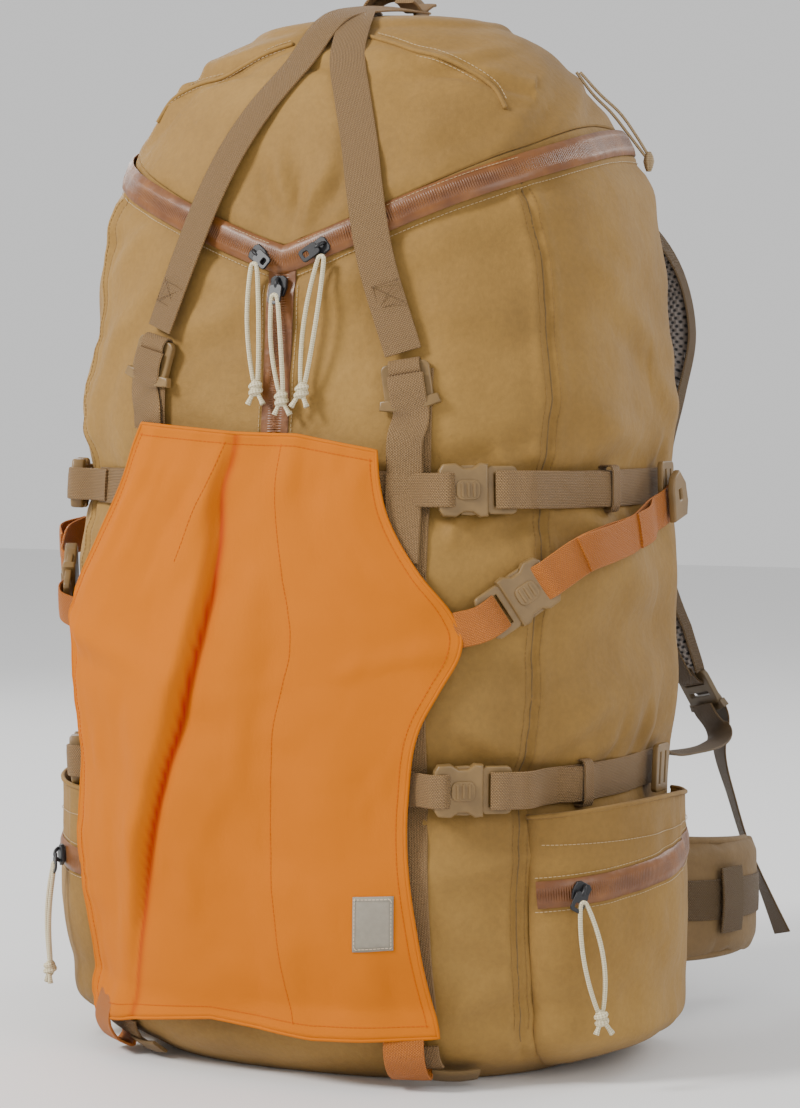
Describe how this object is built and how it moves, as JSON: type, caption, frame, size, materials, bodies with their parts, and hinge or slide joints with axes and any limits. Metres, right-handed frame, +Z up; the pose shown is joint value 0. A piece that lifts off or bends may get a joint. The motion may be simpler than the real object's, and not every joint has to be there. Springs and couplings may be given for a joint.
{
  "type": "hunting backpack",
  "caption": "Large internal-frame hunting backpack with a zipped top opening, folding high-visibility front panel, compression straps, side pockets, harness and hip belt.",
  "frame": {"origin": "centre of the flat base of the bag, on the surface it stands on", "axes": "+Z up along the bag, -Y out of the front that carries the folding panel, +Y out of the back that carries the harness"},
  "size_m": [0.4636, 0.4558, 0.7515],
  "materials": {
    "back_pad": "spacer mesh",
    "bag_shell": "woven",
    "belt_wing_left": "woven",
    "belt_wing_right": "woven",
    "compression_lower_left_body": "moulded",
    "compression_lower_left_plug": "moulded",
    "compression_lower_left_strap": "webbing",
    "compression_lower_right_body": "moulded",
    "compression_lower_right_plug": "moulded",
    "compression_lower_right_strap": "webbing",
    "compression_upper_left_body": "moulded",
    "compression_upper_left_plug": "moulded",
    "compression_upper_left_strap": "webbing",
    "compression_upper_right_body": "moulded",
    "compression_upper_right_plug": "moulded",
    "compression_upper_right_strap": "webbing",
    "frame_sheet": "sheet",
    "front_strap_left": "webbing",
    "front_strap_right": "webbing",
    "front_web_lower": "webbing",
    "front_web_upper": "webbing",
    "haul_handle": "webbing",
    "lid_strap_left": "webbing",
    "lid_strap_right": "webbing",
    "lumbar_pad": "spacer mesh",
    "main_zip": "coated tape",
    "orange_panel": "matte woven",
    "panel_buckle_left_body": "moulded",
    "panel_buckle_left_plug": "moulded",
    "panel_buckle_right_body": "moulded",
    "panel_buckle_right_plug": "moulded",
    "panel_loop_left": "matte woven",
    "panel_loop_right": "matte woven",
    "panel_strap_left": "matte woven",
    "panel_strap_right": "matte woven",
    "pocket_cord_left": "braided",
    "pocket_cord_right": "braided",
    "pocket_slider_left": "satin",
    "pocket_slider_right": "satin",
    "pocket_zip_left": "coated tape",
    "pocket_zip_right": "coated tape",
    "shoulder_ladder_left": "moulded",
    "shoulder_ladder_right": "moulded",
    "shoulder_pad_left": "spacer mesh",
    "shoulder_pad_right": "spacer mesh",
    "shoulder_web_left": "webbing",
    "shoulder_web_right": "webbing",
    "side_pocket_left": "woven",
    "side_pocket_right": "woven",
    "sternum_strap": "webbing",
    "tension_lock_left": "moulded",
    "tension_lock_right": "moulded",
    "top_lid": "woven",
    "yoke_plate": "webbing",
    "zip_cord_left": "braided",
    "zip_cord_middle": "braided",
    "zip_cord_right": "braided",
    "zip_slider_left": "satin",
    "zip_slider_middle": "satin",
    "zip_slider_right": "satin"
  },
  "bodies": {
    "bag": {"bag_shell": "bag_shell", "main_zip": "main_zip", "side_pocket_left": "side_pocket_left", "side_pocket_right": "side_pocket_right", "pocket_zip_left": "pocket_zip_left", "pocket_zip_right": "pocket_zip_right", "front_strap_left": "front_strap_left", "front_strap_right": "front_strap_right", "front_web_upper": "front_web_upper", "front_web_lower": "front_web_lower", "frame_sheet": "frame_sheet", "back_pad": "back_pad", "lumbar_pad": "lumbar_pad", "yoke_plate": "yoke_plate", "shoulder_web_left": "shoulder_web_left", "shoulder_web_right": "shoulder_web_right", "panel_loop_left": "panel_loop_left", "panel_loop_right": "panel_loop_right", "compression_upper_right_body": "compression_upper_right_body", "compression_upper_right_strap": "compression_upper_right_strap", "compression_upper_left_body": "compression_upper_left_body", "compression_upper_left_strap": "compression_upper_left_strap", "compression_lower_right_body": "compression_lower_right_body", "compression_lower_right_strap": "compression_lower_right_strap", "compression_lower_left_body": "compression_lower_left_body", "compression_lower_left_strap": "compression_lower_left_strap"},
    "lid": {"top_lid": "top_lid", "lid_strap_left": "lid_strap_left", "lid_strap_right": "lid_strap_right"},
    "handle": {"haul_handle": "haul_handle"},
    "panel": {"orange_panel": "orange_panel", "panel_strap_left": "panel_strap_left", "panel_strap_right": "panel_strap_right", "panel_buckle_left_plug": "panel_buckle_left_plug", "panel_buckle_right_plug": "panel_buckle_right_plug"},
    "harness": {"shoulder_pad_left": "shoulder_pad_left", "shoulder_pad_right": "shoulder_pad_right", "shoulder_ladder_left": "shoulder_ladder_left", "shoulder_ladder_right": "shoulder_ladder_right", "sternum_strap": "sternum_strap"},
    "belt_left": {"belt_wing_left": "belt_wing_left"},
    "belt_right": {"belt_wing_right": "belt_wing_right"},
    "tension_lock_left": {"tension_lock_left": "tension_lock_left"},
    "tension_lock_right": {"tension_lock_right": "tension_lock_right"},
    "zip_slider_left": {"zip_slider_left": "zip_slider_left", "zip_cord_left": "zip_cord_left"},
    "zip_slider_right": {"zip_slider_right": "zip_slider_right", "zip_cord_right": "zip_cord_right"},
    "zip_slider_middle": {"zip_slider_middle": "zip_slider_middle", "zip_cord_middle": "zip_cord_middle"},
    "pocket_slider_left": {"pocket_slider_left": "pocket_slider_left", "pocket_cord_left": "pocket_cord_left"},
    "pocket_slider_right": {"pocket_slider_right": "pocket_slider_right", "pocket_cord_right": "pocket_cord_right"},
    "compression_upper_right_plug": {"compression_upper_right_plug": "compression_upper_right_plug"},
    "compression_upper_left_plug": {"compression_upper_left_plug": "compression_upper_left_plug"},
    "compression_lower_right_plug": {"compression_lower_right_plug": "compression_lower_right_plug"},
    "compression_lower_left_plug": {"compression_lower_left_plug": "compression_lower_left_plug"},
    "panel_buckle_left": {"panel_buckle_left_body": "panel_buckle_left_body"},
    "panel_buckle_right": {"panel_buckle_right_body": "panel_buckle_right_body"}
  },
  "joints": [
    {"name": "lid_open", "type": "hinge", "parent": "bag", "child": "lid", "pos_m": [0, 0.1155, 0.65], "axis": [-1, 0, 0], "range_deg": [0, 85]},
    {"name": "handle_swing", "type": "hinge", "parent": "lid", "child": "handle", "pos_m": [0.002, 0.046, 0.7335], "axis": [1, 0, 0], "range_deg": [-15, 15]},
    {"name": "panel_fold", "type": "hinge", "parent": "bag", "child": "panel", "pos_m": [0, -0.135, 0.03], "axis": [1, 0, 0], "range_deg": [0, 75]},
    {"name": "harness_swing", "type": "hinge", "parent": "bag", "child": "harness", "pos_m": [0, 0.156, 0.585], "axis": [1, 0, 0], "range_deg": [0, 60]},
    {"name": "belt_left_swing", "type": "hinge", "parent": "bag", "child": "belt_left", "pos_m": [-0.128, 0.141, 0.093], "axis": [0, 0, -1], "range_deg": [-6, 25]},
    {"name": "belt_right_swing", "type": "hinge", "parent": "bag", "child": "belt_right", "pos_m": [0.128, 0.141, 0.093], "axis": [0, 0, 1], "range_deg": [-6, 25]},
    {"name": "tension_lock_left_tilt", "type": "hinge", "parent": "lid", "child": "tension_lock_left", "pos_m": [-0.09471, -0.12957, 0.49825], "axis": [-0.9332, 0.2671, 0.2403], "range_deg": [0, 40]},
    {"name": "tension_lock_right_tilt", "type": "hinge", "parent": "lid", "child": "tension_lock_right", "pos_m": [0.09284, -0.13192, 0.48119], "axis": [-0.9553, -0.2513, -0.1557], "range_deg": [0, 40]},
    {"name": "zip_left_slide", "type": "slide", "parent": "bag", "child": "zip_slider_left", "axis": [-0.9299, 0.0962, 0.355], "range_m": [0, 0.022]},
    {"name": "zip_right_slide", "type": "slide", "parent": "bag", "child": "zip_slider_right", "axis": [0.9252, 0.1118, 0.3627], "range_m": [0, 0.014]},
    {"name": "zip_middle_slide", "type": "slide", "parent": "bag", "child": "zip_slider_middle", "axis": [0, -0.1108, -0.9938], "range_m": [0, 0.08]},
    {"name": "pocket_zip_left_slide", "type": "slide", "parent": "bag", "child": "pocket_slider_left", "axis": [-0.6633, 0.7435, 0.0847], "range_m": [0, 0.012]},
    {"name": "pocket_zip_right_slide", "type": "slide", "parent": "bag", "child": "pocket_slider_right", "axis": [0.6633, 0.7435, 0.0847], "range_m": [0, 0.012]},
    {"name": "compression_upper_right_release", "type": "slide", "parent": "bag", "child": "compression_upper_right_plug", "axis": [0.8451, 0.5346, -0.0001], "range_m": [0, 0.011]},
    {"name": "compression_upper_left_release", "type": "slide", "parent": "bag", "child": "compression_upper_left_plug", "axis": [-0.3901, 0.9208, -0.0001], "range_m": [0, 0.011]},
    {"name": "compression_lower_right_release", "type": "slide", "parent": "bag", "child": "compression_lower_right_plug", "axis": [0.8297, 0.5582, 0.0001], "range_m": [0, 0.011]},
    {"name": "compression_lower_left_release", "type": "slide", "parent": "bag", "child": "compression_lower_left_plug", "axis": [-0.3855, 0.9227, 0], "range_m": [0, 0.011]},
    {"name": "panel_buckle_left_release", "type": "slide", "parent": "panel", "child": "panel_buckle_left", "axis": [-0.3613, 0.757, 0.5445], "range_m": [0, 0.011]},
    {"name": "panel_buckle_right_release", "type": "slide", "parent": "panel", "child": "panel_buckle_right", "axis": [0.6339, 0.5497, 0.544], "range_m": [0, 0.011]}
  ]
}
